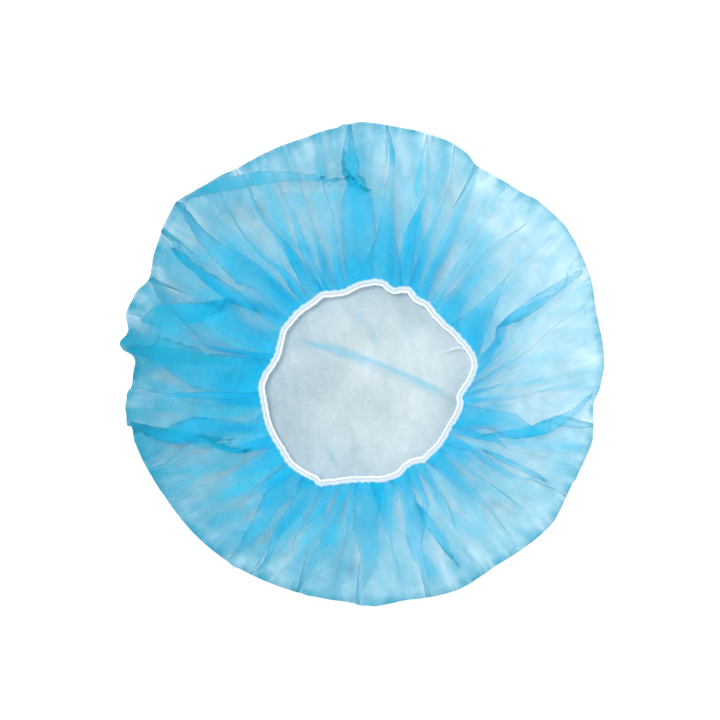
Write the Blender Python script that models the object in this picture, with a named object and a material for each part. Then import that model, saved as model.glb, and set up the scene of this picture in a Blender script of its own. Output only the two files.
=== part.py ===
"""Disposable bouffant hairnet, lying on its crown with the gathered mouth up.

A round blank of thin nonwoven cloth is gathered on an elastic at its edge.
Metres, +Z up. The origin is on the floor, at the middle of the cap's outline.
Bearings are in degrees, counter-clockwise from +X, seen from above.
"""
import math
from collections import namedtuple

import bmesh
import bpy
from mathutils import Vector

# Sizes of the cap as it lies
CROWN_RADIUS = 0.1585
MOUTH_RADIUS = 0.0675
MOUTH_SHIFT = Vector((0.0040, -0.0132, 0.0))
RIM_HEIGHT = 0.0090
PUFF_HEIGHT = 0.0310
MOUTH_HEIGHT = 0.0200
FOLD_DEPTH = 0.0085
CLOTH_WALL = 0.0012

# Sizes of the overlocked edge and its elastic
CLEARANCE = 0.0003
BINDING_WIDTH = 0.0024
BINDING_WALL = 0.0007
BINDING_ROUND = 0.0004
ELASTIC_DIAMETER = 0.0019
ELASTIC_SIDES = 8

# What the slot between the binding's lips leaves for the hem
SLOT_DEPTH = BINDING_WIDTH - BINDING_WALL
SLOT_HEIGHT = CLOTH_WALL + 2.0 * CLEARANCE
BINDING_HEIGHT = SLOT_HEIGHT + 2.0 * BINDING_WALL

# Distance of the outline from the crown's centre, as a share of CROWN_RADIUS
OutlineRow = namedtuple("OutlineRow", "bearing share")
OUTLINE = [OutlineRow(*row) for row in (
    (0, 1.010), (12, 1.000), (22, 1.020), (34, 1.026), (42, 1.005), (48, 0.975),
    (55, 0.960), (60, 0.955), (64, 0.985), (69, 0.998), (82, 1.000), (90, 1.010),
    (97, 0.990), (106, 0.972), (121, 0.967), (131, 0.992), (139, 1.028), (144, 1.012),
    (151, 0.985), (158, 0.954), (163, 0.992), (168, 1.007), (172.5, 0.980), (175, 1.012),
    (178.7, 0.942), (184, 0.958), (190.5, 1.005), (200, 1.000), (214, 0.990), (230, 0.996),
    (255, 0.988), (266, 0.992), (273, 1.010), (280, 1.000), (293, 1.022), (303, 1.008),
    (320, 1.034), (330, 1.008), (341, 1.012), (350, 0.978), (355, 0.998),
)]

# Distance of the binding's outer edge from the mouth's centre, as a share of MOUTH_RADIUS
MOUTH = [OutlineRow(*row) for row in (
    (0, 0.990), (14, 1.090), (28, 1.020), (42, 0.955), (52, 0.967), (65, 1.020),
    (76, 0.992), (87, 1.020), (104, 0.966), (118, 1.020), (128, 1.000), (137, 1.016),
    (158, 0.965), (171, 1.040), (182, 1.088), (196, 1.066), (208, 1.072), (233, 1.110),
    (243, 1.100), (257, 0.990), (268, 0.953), (284, 0.950), (296, 0.905), (306, 0.935),
    (326, 0.913), (346, 0.940), (354, 0.932),
)]

# Height of the mouth, as a share of MOUTH_HEIGHT
MOUTH_LIFT = [OutlineRow(*row) for row in (
    (15, 0.93), (60, 1.06), (110, 0.95), (165, 1.10), (215, 0.97), (260, 1.07), (310, 0.92),
)]

# Each fold begins at a crease that runs from the mouth to the outline. reach is the share
# of that way after which the crease has died out, rise is the crest of the fold that
# follows, as a share of FOLD_DEPTH, and steps is how many strips of cloth it takes.
Fold = namedtuple("Fold", "mouth outline steps reach rise")
FOLDS = [Fold(*row) for row in (
    (2, 23, 4, 0.90, 1.00), (13, 30, 4, 0.95, 0.85), (25, 35, 4, 0.70, 0.80),
    (37, 39, 4, 0.60, 0.75), (47, 46, 4, 0.60, 1.00), (59, 60, 5, 1.00, 0.70),
    (69, 74, 4, 0.95, 0.90), (77, 84, 5, 1.00, 0.60), (95, 90, 4, 0.85, 1.10),
    (104, 98, 4, 0.75, 0.80), (112, 112, 4, 0.55, 0.90), (121, 123, 5, 0.85, 1.00),
    (136, 139, 4, 0.95, 0.95), (146, 147, 4, 0.95, 0.80), (157, 158, 5, 1.00, 1.15),
    (169, 172.5, 4, 0.95, 1.00), (181, 178.7, 5, 0.95, 1.05), (192, 190.5, 4, 0.75, 0.75),
    (204, 199, 5, 0.90, 0.95), (217, 215, 5, 0.70, 0.80), (232, 233, 4, 0.90, 1.10),
    (244, 242, 5, 0.95, 0.85), (259, 254, 4, 0.85, 0.75), (267, 267, 4, 0.95, 1.05),
    (275, 274, 5, 0.60, 0.80), (292, 288, 4, 0.95, 0.90), (302, 300, 4, 0.55, 0.75),
    (314, 313, 4, 0.80, 0.95), (325, 326, 4, 0.75, 0.70), (335, 340, 5, 0.95, 1.00),
    (348, 353, 5, 0.80, 0.90),
)]

# Stations of the upper cloth. out is the share of the way from the mouth to the outline.
# The next three columns weigh the heights of mouth, puff and rim, and fold is how much of
# each fold stands there.
UpperStation = namedtuple("UpperStation", "out mouth puff rim fold")
UPPER = [UpperStation(*row) for row in (
    (0.045, 0.92, 0.08, 0.00, 0.35), (0.13, 0.66, 0.34, 0.00, 0.85),
    (0.26, 0.30, 0.70, 0.00, 1.00), (0.44, 0.00, 1.00, 0.00, 0.95),
    (0.62, 0.00, 0.95, 0.05, 0.75), (0.78, 0.00, 0.76, 0.24, 0.55),
    (0.91, 0.00, 0.40, 0.60, 0.30), (1.00, 0.00, 0.00, 1.00, 0.06),
)]

# Stations of the lower cloth, from the outline in to the flat crown
LowerStation = namedtuple("LowerStation", "out rim")
LOWER = [LowerStation(*row) for row in (
    (0.983, 0.38), (0.955, 0.09), (0.930, 0.00), (0.450, 0.00),
)]


def read_around(table, bearing):
    """Read a table of shares at a bearing, smoothly between its rows."""
    rows = [(row.bearing, row.share) for row in table]
    rows.append((rows[0][0] + 360.0, rows[0][1]))
    place = bearing
    while place < rows[0][0]:
        place += 360.0
    while place >= rows[-1][0]:
        place -= 360.0
    for (start, low), (end, high) in zip(rows, rows[1:]):
        if start <= place < end:
            along = (place - start) / (end - start)
            ease = 0.5 * along + 0.5 * along * along * (3.0 - 2.0 * along)
            return low + (high - low) * ease
    return rows[0][1]


def direction(bearing):
    angle = math.radians(bearing)
    return Vector((math.cos(angle), math.sin(angle), 0.0))


def cloth_columns():
    """List every strip of cloth: its two bearings, its reach and its share of a fold."""
    columns = []
    for number, fold in enumerate(FOLDS):
        after = FOLDS[(number + 1) % len(FOLDS)]
        mouth_span = (after.mouth - fold.mouth) % 360.0
        outline_span = (after.outline - fold.outline) % 360.0
        for step in range(fold.steps):
            share = step / fold.steps
            columns.append({
                "mouth": fold.mouth + mouth_span * share,
                "outline": fold.outline + outline_span * share,
                "reach": fold.reach + (after.reach - fold.reach) * share,
                "crest": fold.rise * math.sin(math.pi * share) ** 0.8 - 0.5,
            })
    return columns


def outline_points(columns):
    """Points of the lying cap's outline, centred on the origin."""
    points = [direction(column["outline"]) * CROWN_RADIUS * read_around(OUTLINE, column["outline"])
              for column in columns]
    middle_x = (min(point.x for point in points) + max(point.x for point in points)) / 2.0
    middle_y = (min(point.y for point in points) + max(point.y for point in points)) / 2.0
    middle = Vector((middle_x, middle_y, 0.0))
    return [point - middle for point in points], middle


def mouth_path(columns, middle):
    """Points along the binding's outer edge at mid height, with their outward directions."""
    centre = MOUTH_SHIFT - middle
    points = []
    for column in columns:
        bearing = column["mouth"]
        point = centre + direction(bearing) * MOUTH_RADIUS * read_around(MOUTH, bearing)
        point.z = MOUTH_HEIGHT * read_around(MOUTH_LIFT, bearing)
        points.append(point)
    outward = []
    for number in range(len(points)):
        chord = points[(number + 1) % len(points)] - points[number - 1]
        outward.append(Vector((chord.y, -chord.x, 0.0)).normalized())
    return points, outward


def fold_height(column, station):
    """Height that a fold adds at one station of one strip."""
    fade = max(0.0, 1.0 - (station.out / column["reach"]) ** 3)
    return FOLD_DEPTH * column["crest"] * station.fold * fade


def make_material(name, colour, roughness):
    material = bpy.data.materials.new(name)
    material.use_nodes = True
    shader = material.node_tree.nodes["Principled BSDF"]
    shader.inputs["Base Color"].default_value = (*colour, 1.0)
    shader.inputs["Roughness"].default_value = roughness
    shader.inputs["Metallic"].default_value = 0.0
    return material


def make_object(name, bm, material):
    """Put a finished mesh in the scene as one smooth object."""
    mesh = bpy.data.meshes.new(name)
    bm.to_mesh(mesh)
    bm.free()
    mesh.shade_smooth()
    mesh.materials.append(material)
    thing = bpy.data.objects.new(name, mesh)
    bpy.context.scene.collection.objects.link(thing)
    return thing


def bridge_rings(bm, rings):
    """Join closed rings of vertices one after another with quads."""
    for inner, outer in zip(rings, rings[1:]):
        for number in range(len(inner)):
            after = (number + 1) % len(inner)
            bm.faces.new((inner[number], outer[number], outer[after], inner[after]))


def make_crown(columns, rim, mouth, outward, material):
    """The bag: hem, folded upper cloth, rim and flat crown, then its wall."""
    bm = bmesh.new()
    half_wall = Vector((0.0, 0.0, CLOTH_WALL / 2.0))
    hem_end = SLOT_DEPTH - CLEARANCE
    rings = [
        [bm.verts.new(point - side * hem_end + half_wall) for point, side in zip(mouth, outward)],
        [bm.verts.new(point + side * CLEARANCE + half_wall) for point, side in zip(mouth, outward)],
    ]
    for station in UPPER:
        ring = []
        for column, edge, point in zip(columns, rim, mouth):
            place = point.lerp(edge, station.out)
            mouth_top = point.z + CLOTH_WALL / 2.0
            place.z = (station.mouth * mouth_top + station.puff * PUFF_HEIGHT
                       + station.rim * RIM_HEIGHT + fold_height(column, station))
            ring.append(bm.verts.new(place))
        rings.append(ring)
    for station in LOWER:
        ring = []
        for edge in rim:
            place = edge * station.out
            place.z = station.rim * RIM_HEIGHT
            ring.append(bm.verts.new(place))
        rings.append(ring)
    bridge_rings(bm, rings)
    crown_centre = bm.verts.new((0.0, 0.0, 0.0))
    last = rings[-1]
    for number in range(len(last)):
        bm.faces.new((last[number], crown_centre, last[(number + 1) % len(last)]))
    crown = make_object("crown", bm, material)
    wall = crown.modifiers.new("wall", "SOLIDIFY")
    wall.thickness = CLOTH_WALL
    wall.offset = -1.0
    wall.use_even_offset = True
    return crown


def sweep_ring(name, path, outward, profile, material):
    """Sweep a closed profile of (inward, up) distances round the mouth."""
    bm = bmesh.new()
    rings = []
    for inward, up in profile:
        lift = Vector((0.0, 0.0, up))
        rings.append([bm.verts.new(point - side * inward + lift)
                      for point, side in zip(path, outward)])
    bridge_rings(bm, rings + [rings[0]])
    return make_object(name, bm, material)


def binding_profile():
    """Cross-section of the overlocked edge: a channel open towards the cloth."""
    top = BINDING_HEIGHT / 2.0
    slot = SLOT_HEIGHT / 2.0
    return [
        (SLOT_DEPTH, slot), (SLOT_DEPTH, -slot), (0.0, -slot), (BINDING_ROUND, -top),
        (BINDING_WIDTH - BINDING_ROUND, -top), (BINDING_WIDTH, BINDING_ROUND - top),
        (BINDING_WIDTH, top - BINDING_ROUND), (BINDING_WIDTH - BINDING_ROUND, top),
        (BINDING_ROUND, top), (0.0, slot),
    ]


def elastic_profile():
    """Cross-section of the covered elastic, beside the binding's closed side."""
    radius = ELASTIC_DIAMETER / 2.0
    middle = BINDING_WIDTH + CLEARANCE + radius
    turn = 2.0 * math.pi / ELASTIC_SIDES
    corners = [(number + 0.5) * turn for number in range(ELASTIC_SIDES)]
    return [(middle + radius * math.cos(angle), radius * math.sin(angle)) for angle in corners]


def main():
    for thing in list(bpy.data.objects):
        bpy.data.objects.remove(thing, do_unlink=True)
    cloth = make_material("nonwoven_cloth", (0.26, 0.66, 0.88), 0.75)
    overlock = make_material("overlock_thread", (0.83, 0.89, 0.95), 0.70)
    elastic = make_material("covered_elastic", (0.93, 0.95, 0.97), 0.60)
    columns = cloth_columns()
    rim, middle = outline_points(columns)
    mouth, outward = mouth_path(columns, middle)
    make_crown(columns, rim, mouth, outward, cloth)
    sweep_ring("overlock_binding", mouth, outward, binding_profile(), overlock)
    sweep_ring("elastic_ring", mouth, outward, elastic_profile(), elastic)


main()
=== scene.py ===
# %% [markdown]
# # A disposable hairnet, lying on its crown
#
# A bouffant cap is a round blank of thin nonwoven whose edge is gathered on an elastic.
# Here it lies on a table with its gathered mouth up, seen from straight above. The packed
# solids give the place and the size of each piece. This script dresses them: a cloth cut
# flat and gathered in code, an overlocked edge with its threads, and a covered elastic.

# %% Load the frame
import math
from collections import namedtuple

import bpy
import numpy as np
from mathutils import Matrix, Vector, noise


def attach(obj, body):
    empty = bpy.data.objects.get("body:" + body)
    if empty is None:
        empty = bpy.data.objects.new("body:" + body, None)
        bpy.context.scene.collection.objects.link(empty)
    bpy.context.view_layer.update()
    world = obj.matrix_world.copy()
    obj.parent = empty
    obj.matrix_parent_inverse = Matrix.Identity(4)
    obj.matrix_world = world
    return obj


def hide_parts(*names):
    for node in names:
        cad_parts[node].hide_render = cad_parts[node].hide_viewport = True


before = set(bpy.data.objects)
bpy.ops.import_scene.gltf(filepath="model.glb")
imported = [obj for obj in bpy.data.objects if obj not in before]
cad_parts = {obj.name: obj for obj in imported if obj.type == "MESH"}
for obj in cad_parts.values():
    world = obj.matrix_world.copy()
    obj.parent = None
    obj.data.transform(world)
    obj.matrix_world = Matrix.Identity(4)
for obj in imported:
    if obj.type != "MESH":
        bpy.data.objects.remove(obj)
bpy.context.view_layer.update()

# %% [markdown]
# ## Camera
#
# The picture was taken from straight above with a longish lens, so the far and near sides
# of the cap are the same size. A camera at 1.1 m with an 85 mm lens does the same. The
# picture is 720 pixels wide, and one pixel is 0.66 mm on the cap.

# %% Camera
PICTURE_PIXELS = 720
METRES_PER_PIXEL = 0.00066
OUTLINE_CENTRE_PIXEL = (362, 364)
LENS_MM = 85.0
SENSOR_MM = 36.0
EYE_HEIGHT_OF_CAP = 0.010


def add_camera():
    """Look straight down, with the cap's outline where the photo has it."""
    width = PICTURE_PIXELS * METRES_PER_PIXEL
    height = width * LENS_MM / SENSOR_MM + EYE_HEIGHT_OF_CAP
    left = (OUTLINE_CENTRE_PIXEL[0] - PICTURE_PIXELS / 2) * METRES_PER_PIXEL
    down = (OUTLINE_CENTRE_PIXEL[1] - PICTURE_PIXELS / 2) * METRES_PER_PIXEL
    bpy.ops.object.camera_add(location=(-left, down, height), rotation=(0.0, 0.0, 0.0))
    camera = bpy.context.object
    camera.data.lens = LENS_MM
    camera.data.sensor_width = SENSOR_MM
    bpy.context.scene.camera = camera
    print("camera at", [round(value, 3) for value in camera.location])


add_camera()

# %% [markdown]
# ## Floor
#
# The cap lies on bright white with hardly a shadow. A floor that only reflected would turn
# grey under the cloth, so this one also glows a little, as paper on a light table does.

# %% Floor
FLOOR_WIDTH = 8.0
FLOOR_WHITE = (0.92, 0.92, 0.92)
FLOOR_GLOW = 0.18


def plain_material(name, colour, roughness):
    """A Principled material with one colour, for nodes to be added to."""
    material = bpy.data.materials.new(name)
    material.use_nodes = True
    shader = material.node_tree.nodes["Principled BSDF"]
    shader.inputs["Base Color"].default_value = (*colour, 1.0)
    shader.inputs["Roughness"].default_value = roughness
    return material


def add_floor():
    bpy.ops.mesh.primitive_plane_add(size=FLOOR_WIDTH, location=(0.0, 0.0, 0.0))
    floor = bpy.context.object
    floor.name = "floor"
    white = plain_material("floor_white", FLOOR_WHITE, 0.9)
    shader = white.node_tree.nodes["Principled BSDF"]
    shader.inputs["Emission Color"].default_value = (1.0, 1.0, 1.0, 1.0)
    shader.inputs["Emission Strength"].default_value = FLOOR_GLOW
    floor.data.materials.append(white)
    print("floor:", FLOOR_WIDTH, "m wide")


bpy.ops.object.select_all(action="DESELECT")
add_floor()

# %% [markdown]
# ## Light
#
# The light is soft and comes from all round, and a little more from the right, so the left
# side is greyer. A pale sky does the round light, and a wide panel on the right does the
# rest. A small panel high above the top left draws the thin shadow that the overlocked edge
# throws into the mouth. A bare lamp would be simpler, but its shadows are too hard. The
# Standard view keeps the white floor white. Light goes through many gaps in the cloth, so
# a ray may cross up to 32 of them.

# %% Light
SKY_STRENGTH = 0.60
KEY_PANEL = {"place": (0.45, 0.15, 0.75), "width": 0.55, "watts": 2.4}
TOP_PANEL = {"place": (-0.15, 0.12, 1.60), "width": 0.20, "watts": 14.5}
GAPS_A_RAY_MAY_CROSS = 32


def add_panel(name, place, width, watts):
    """A square soft light that faces the middle of the floor."""
    bpy.ops.object.light_add(type="AREA", location=place)
    panel = bpy.context.object
    panel.name = name
    panel.data.size = width
    panel.data.energy = watts
    panel.rotation_euler = (-Vector(place)).to_track_quat("-Z", "Y").to_euler()


add_panel("key_panel", **KEY_PANEL)
add_panel("top_panel", **TOP_PANEL)
world = bpy.data.worlds.new("pale_sky")
world.use_nodes = True
sky = world.node_tree.nodes["Background"]
sky.inputs["Color"].default_value = (1.0, 1.0, 1.0, 1.0)
sky.inputs["Strength"].default_value = SKY_STRENGTH
bpy.context.scene.world = world
bpy.context.scene.view_settings.view_transform = "Standard"
bpy.context.scene.cycles.transparent_max_bounces = GAPS_A_RAY_MAY_CROSS

# %% [markdown]
# ## The sizes that the solids follow
#
# The cloth has to lie where the crown solid lies, so these are the same sizes, in metres.
# The blank is the flat disc that the real cap is cut from. The mouth's middle lies a little
# off the cap's, and the puff is where the upper cloth stands highest.

# %% Sizes
BLANK_DIAMETER = 0.533
CROWN_RADIUS = 0.1585
MOUTH_RADIUS = 0.0675
MOUTH_SHIFT = (0.0040, -0.0132)
RIM_HEIGHT = 0.0090
PUFF_HEIGHT = 0.0310
MOUTH_HEIGHT = 0.0200
FOLD_DEPTH = 0.0085
print("crown", round(CROWN_RADIUS * 2000), "mm across, mouth", round(MOUTH_RADIUS * 2000), "mm")

# %% [markdown]
# ## The outline and the mouth
#
# A gathered cap is never a true circle. Two tables give the outline and the mouth as shares
# of their radii at bearings in degrees, from the right and anticlockwise. The bump at 175
# degrees is a knot of cloth that stands out on the left. A third table lifts and lowers the
# mouth. A curve drawn by hand would do as well, but rows are easier to compare and change.

# %% Outline and mouth
Around = namedtuple("Around", "bearing share")
OUTLINE = [Around(*row) for row in (
    (0, 1.010), (12, 1.000), (22, 1.020), (34, 1.026), (42, 1.005), (48, 0.975), (55, 0.960),
    (60, 0.955), (64, 0.985), (69, 0.998), (82, 1.000), (90, 1.010), (97, 0.990), (106, 0.972),
    (121, 0.967), (131, 0.992), (139, 1.028), (144, 1.012), (151, 0.985), (158, 0.954),
    (163, 0.992), (168, 1.007), (171.8, 0.984), (173.2, 0.992), (174.3, 1.012), (175.5, 1.014),
    (176.6, 0.998), (177.6, 0.958), (179.2, 0.944), (184, 0.958), (190.5, 1.005), (200, 1.000),
    (214, 0.990), (230, 0.996), (255, 0.988), (266, 0.992), (273, 1.010), (280, 1.000),
    (293, 1.022), (303, 1.008), (320, 1.034), (330, 1.008), (341, 1.012), (350, 0.978),
    (355, 0.998),
)]
MOUTH = [Around(*row) for row in (
    (0, 1.000), (5, 1.045), (9.5, 1.082), (15, 1.084), (21, 1.054), (27, 1.018), (33, 0.995),
    (38, 0.967), (46, 0.962), (54, 0.992), (60, 0.976), (67, 1.028), (71, 1.005), (75.5, 0.968),
    (81, 1.020), (86, 1.028), (93, 1.008), (105, 0.955), (111, 0.974), (117, 1.012),
    (124, 0.992), (135, 1.006), (141, 1.000), (147, 1.006), (156, 0.968), (162, 0.953),
    (168, 0.980), (174, 1.032), (181, 1.068), (190, 1.058), (204, 1.074), (216, 1.078),
    (226, 1.106), (236, 1.090), (240, 1.078), (244, 1.098), (250, 1.040), (256, 0.990),
    (262, 0.960), (270, 0.948), (279, 0.960), (288, 0.948), (296.5, 0.893), (301, 0.900),
    (306, 0.938), (312, 0.928), (320, 0.930), (332, 0.918), (342, 0.940), (348, 0.948),
    (352.5, 0.925), (357, 0.960),
)]
MOUTH_LIFT = [Around(*row) for row in (
    (15, 0.93), (60, 1.06), (110, 0.95), (165, 1.10), (215, 0.97), (260, 1.07), (310, 0.92),
)]
print("rows:", len(OUTLINE), "round the outline,", len(MOUTH), "round the mouth")

# %% [markdown]
# ## The main folds
#
# Between two creases the upper cloth rises in one soft fold. A row gives a crease by its
# bearings at the mouth and at the outline, how far the fold after it runs towards the
# outline, and how high it rises. The two bearings differ where a fold leans.

# %% Main folds
Fold = namedtuple("Fold", "mouth outline reach rise")
FOLDS = [Fold(*row) for row in (
    (2, 23, 0.90, 1.00), (13, 30, 0.95, 0.85), (25, 35, 0.70, 0.80), (37, 39, 0.60, 0.75),
    (47, 46, 0.60, 1.00), (59, 60, 1.00, 0.70), (69, 74, 0.95, 0.90), (77, 84, 1.00, 0.60),
    (95, 90, 0.85, 1.10), (104, 98, 0.75, 0.80), (112, 112, 0.55, 0.90),
    (121, 123, 0.85, 1.00), (136, 139, 0.95, 0.95), (146, 147, 0.95, 0.80),
    (157, 158, 1.00, 1.15), (169, 172.5, 0.95, 1.00), (181, 178.7, 0.95, 1.05),
    (192, 190.5, 0.75, 0.75), (204, 199, 0.90, 0.95), (217, 215, 0.70, 0.80),
    (232, 233, 0.90, 1.10), (244, 242, 0.95, 0.85), (259, 254, 0.85, 0.75),
    (267, 267, 0.95, 1.05), (275, 274, 0.60, 0.80), (292, 288, 0.95, 0.90),
    (302, 300, 0.55, 0.75), (314, 313, 0.80, 0.95), (325, 326, 0.75, 0.70),
    (335, 340, 0.95, 1.00), (348, 353, 0.80, 0.90),
)]
print("main folds:", len(FOLDS))

# %% [markdown]
# ## Stations along a strip
#
# Think of the cap as many narrow strips of cloth, each from the crown's middle over the rim
# to the hem. A station's first two columns weigh its place between the middle, the outline
# and the mouth. The next three weigh the heights of rim, puff and mouth. The last column is
# how much of each fold stands there. The rim is the station with the greatest rim weight.

# %% Stations
Station = namedtuple("Station", "rim mouth rim_lift puff_lift mouth_lift fold")
STATIONS = [Station(*row) for row in (
    (0.00, 0.00, 0.00, 0.00, 0.00, 0.00), (0.45, 0.00, 0.00, 0.00, 0.00, 0.00),
    (0.93, 0.00, 0.00, 0.00, 0.00, 0.00), (0.955, 0.00, 0.09, 0.00, 0.00, 0.00),
    (0.983, 0.00, 0.38, 0.00, 0.00, 0.02), (1.00, 0.00, 1.00, 0.00, 0.00, 0.06),
    (0.91, 0.09, 0.60, 0.40, 0.00, 0.30), (0.78, 0.22, 0.24, 0.76, 0.00, 0.55),
    (0.62, 0.38, 0.05, 0.95, 0.00, 0.75), (0.44, 0.56, 0.00, 1.00, 0.00, 0.95),
    (0.26, 0.74, 0.00, 0.70, 0.30, 1.00), (0.13, 0.87, 0.00, 0.34, 0.66, 0.85),
    (0.045, 0.955, 0.00, 0.08, 0.92, 0.35), (0.00, 1.00, 0.00, 0.00, 1.00, 0.00),
    (-0.018, 1.018, 0.00, 0.00, 1.00, 0.00),
)]
RIM_PLACE = STATIONS.index(max(STATIONS, key=lambda station: station.rim)) / (len(STATIONS) - 1)
print("stations:", len(STATIONS), "with the rim at", round(RIM_PLACE, 2), "of the strip")

# %% [markdown]
# ## Reading the tables
#
# Each table is read for many points of cloth at once. Round the cap the rows are joined
# by half-straight, half-eased lines, which keeps the outline's corners. Along a strip they
# are joined by a curve that never overshoots a row, so the flat crown stays flat.

# %% Read round the cap
def read_around(table, bearings):
    """Shares at the given bearings, from a table that goes round the cap."""
    places = np.array([row.bearing for row in table], float)
    shares = np.array([row.share for row in table], float)
    places = np.append(places, places[0] + 360.0)
    shares = np.append(shares, shares[0])
    turned = (np.asarray(bearings, float) - places[0]) % 360.0 + places[0]
    row = np.clip(np.searchsorted(places, turned, side="right") - 1, 0, len(table) - 1)
    along = (turned - places[row]) / (places[row + 1] - places[row])
    ease = 0.5 * along + 0.5 * along * along * (3.0 - 2.0 * along)
    return shares[row] + (shares[row + 1] - shares[row]) * ease


def outline_middle():
    """Middle of the outline's extent, which is the frame's origin."""
    bearings = np.radians(np.arange(0.0, 360.0, 0.5))
    radii = CROWN_RADIUS * read_around(OUTLINE, np.degrees(bearings))
    x, y = radii * np.cos(bearings), radii * np.sin(bearings)
    return (x.min() + x.max()) / 2.0, (y.min() + y.max()) / 2.0


MIDDLE_X, MIDDLE_Y = outline_middle()
print("outline's middle is", round(MIDDLE_X * 1000, 2), round(MIDDLE_Y * 1000, 2), "mm off")


# %% Read along a strip
def read_along(values, places):
    """Values at places from 0 to 1 along a strip, on a curve that never overshoots."""
    values = np.asarray(values, float)
    steps = np.diff(values)
    slopes = np.zeros(len(values))
    same = steps[1:] * steps[:-1] > 0.0
    both = steps[1:] + steps[:-1]
    slopes[1:-1][same] = (2.0 * steps[1:] * steps[:-1] / np.where(same, both, 1.0))[same]
    slopes[0] = steps[0]
    slopes[-1] = steps[-1]
    spot = np.clip(places, 0.0, 1.0) * (len(values) - 1)
    row = np.clip(spot.astype(int), 0, len(values) - 2)
    t = spot - row
    return ((1.0 + 2.0 * t) * (1.0 - t) ** 2 * values[row] + t * (1.0 - t) ** 2 * slopes[row]
            + t * t * (3.0 - 2.0 * t) * values[row + 1] + t * t * (t - 1.0) * slopes[row + 1])


def station_column(name):
    return [getattr(station, name) for station in STATIONS]


print("rim weight a quarter along:", read_along(station_column("rim"), np.array([0.25])).round(3))

# %% [markdown]
# ## The smooth form
#
# With the tables read, any strip can be followed from the middle to the hem. The mouth's
# path comes first. Then come the bearing at the mouth of a strip that leaves the outline at
# some bearing, and the crest of the folds there. Together they give the smooth form that
# the cloth is laid on. Numbers do this better than a sculpted surface, because each strip
# then has a known length.

# %% Mouth and folds
def ring_points(bearing):
    """Places on the outer edge of the overlocked edge, at bearings about the mouth."""
    radius = MOUTH_RADIUS * read_around(MOUTH, bearing)
    angle = np.radians(bearing)
    x = MOUTH_SHIFT[0] - MIDDLE_X + radius * np.cos(angle)
    y = MOUTH_SHIFT[1] - MIDDLE_Y + radius * np.sin(angle)
    return x, y, MOUTH_HEIGHT * read_around(MOUTH_LIFT, bearing)


def mouth_bearing(outline_bearing):
    """Bearing at the mouth of the strip that has this bearing at the outline."""
    outline = np.array([fold.outline for fold in FOLDS] + [FOLDS[0].outline + 360.0], float)
    mouth = np.array([fold.mouth for fold in FOLDS] + [FOLDS[0].mouth + 360.0], float)
    turned = (np.asarray(outline_bearing, float) - outline[0]) % 360.0 + outline[0]
    return np.interp(turned, outline, mouth)


def fold_crest(outline_bearing):
    """Crest of the folds at a strip, from -0.5 in a crease upwards, and their reach."""
    outline = np.array([fold.outline for fold in FOLDS] + [FOLDS[0].outline + 360.0], float)
    turned = (np.asarray(outline_bearing, float) - outline[0]) % 360.0 + outline[0]
    row = np.clip(np.searchsorted(outline, turned, side="right") - 1, 0, len(FOLDS) - 1)
    share = (turned - outline[row]) / (outline[row + 1] - outline[row])
    rise = np.array([fold.rise for fold in FOLDS])[row]
    reach = np.array([fold.reach for fold in FOLDS])
    reach = reach[row] + (reach[(row + 1) % len(FOLDS)] - reach[row]) * share
    return rise * np.sin(np.pi * share) ** 0.8 - 0.5, reach


print("hem on the right:", [round(float(value) * 1000, 1) for value in ring_points(0.0)], "mm")


# %% Smooth form
def envelope(place, outline_bearing):
    """The cap's smooth form: points at a place along the strips of these bearings."""
    weigh = {name: read_along(station_column(name), place) for name in Station._fields}
    angle = np.radians(outline_bearing)
    out = np.clip(weigh["rim"], 0.0, 1.0)
    radius = CROWN_RADIUS * (1.0 + (read_around(OUTLINE, outline_bearing) - 1.0) * out ** 2)
    mouth_x, mouth_y, mouth_z = ring_points(mouth_bearing(outline_bearing))
    x = weigh["rim"] * (radius * np.cos(angle) - MIDDLE_X) + weigh["mouth"] * mouth_x
    y = weigh["rim"] * (radius * np.sin(angle) - MIDDLE_Y) + weigh["mouth"] * mouth_y
    crest, reach = fold_crest(outline_bearing)
    fade = np.clip(1.0 - (out / reach) ** 3, 0.0, 1.0)
    z = (weigh["rim_lift"] * RIM_HEIGHT + weigh["puff_lift"] * PUFF_HEIGHT
         + weigh["mouth_lift"] * mouth_z + FOLD_DEPTH * crest * weigh["fold"] * fade)
    return np.stack([x, y, z], axis=-1)


right_rim = envelope(np.array([RIM_PLACE]), np.array([0.0]))[0]
print("rim on the right:", [round(float(value) * 1000, 1) for value in right_rim], "mm")

# %% [markdown]
# ## The blank
#
# The real cap is cut flat, a disc 533 mm across, and all its folds come from gathering that
# disc. So the piece starts as the disc: a grid of even cells in the middle, and rings of
# cells round it that get closer towards the edge, where the pleats are. One grid all over
# would be simpler, but its cells would lie across the pleats and cut them into steps.

# %% Rings of the blank
RINGS_START = 0.124
PATCH_RADIUS = 0.1215
PATCH_SIDES = 240
STRIPS = 660
RING_STEPS = ((9, 0.0030), (12, 0.0022), (25, 0.0023), (20, 0.0016))


def ring_radii():
    """Flat radii of the rings, the last one on the blank's edge."""
    radii = [RINGS_START]
    for count, step in RING_STEPS:
        radii += [radii[-1] + step * (number + 1) for number in range(count)]
    stretch = (BLANK_DIAMETER / 2.0 - RINGS_START) / (radii[-1] - RINGS_START)
    return [RINGS_START + (radius - RINGS_START) * stretch for radius in radii]


radii = ring_radii()
print("rings:", len(radii), "the last at", round(radii[-1] * 1000, 1), "mm")

# %% [markdown]
# ## Cutting the middle
#
# Grid Fill turns a circle of edges into a grid of four-sided cells. A quarter of the circle
# is one side of the grid. Other ways to fill a circle leave a pole in the middle, and a
# pole would show through such thin cloth.

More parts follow.
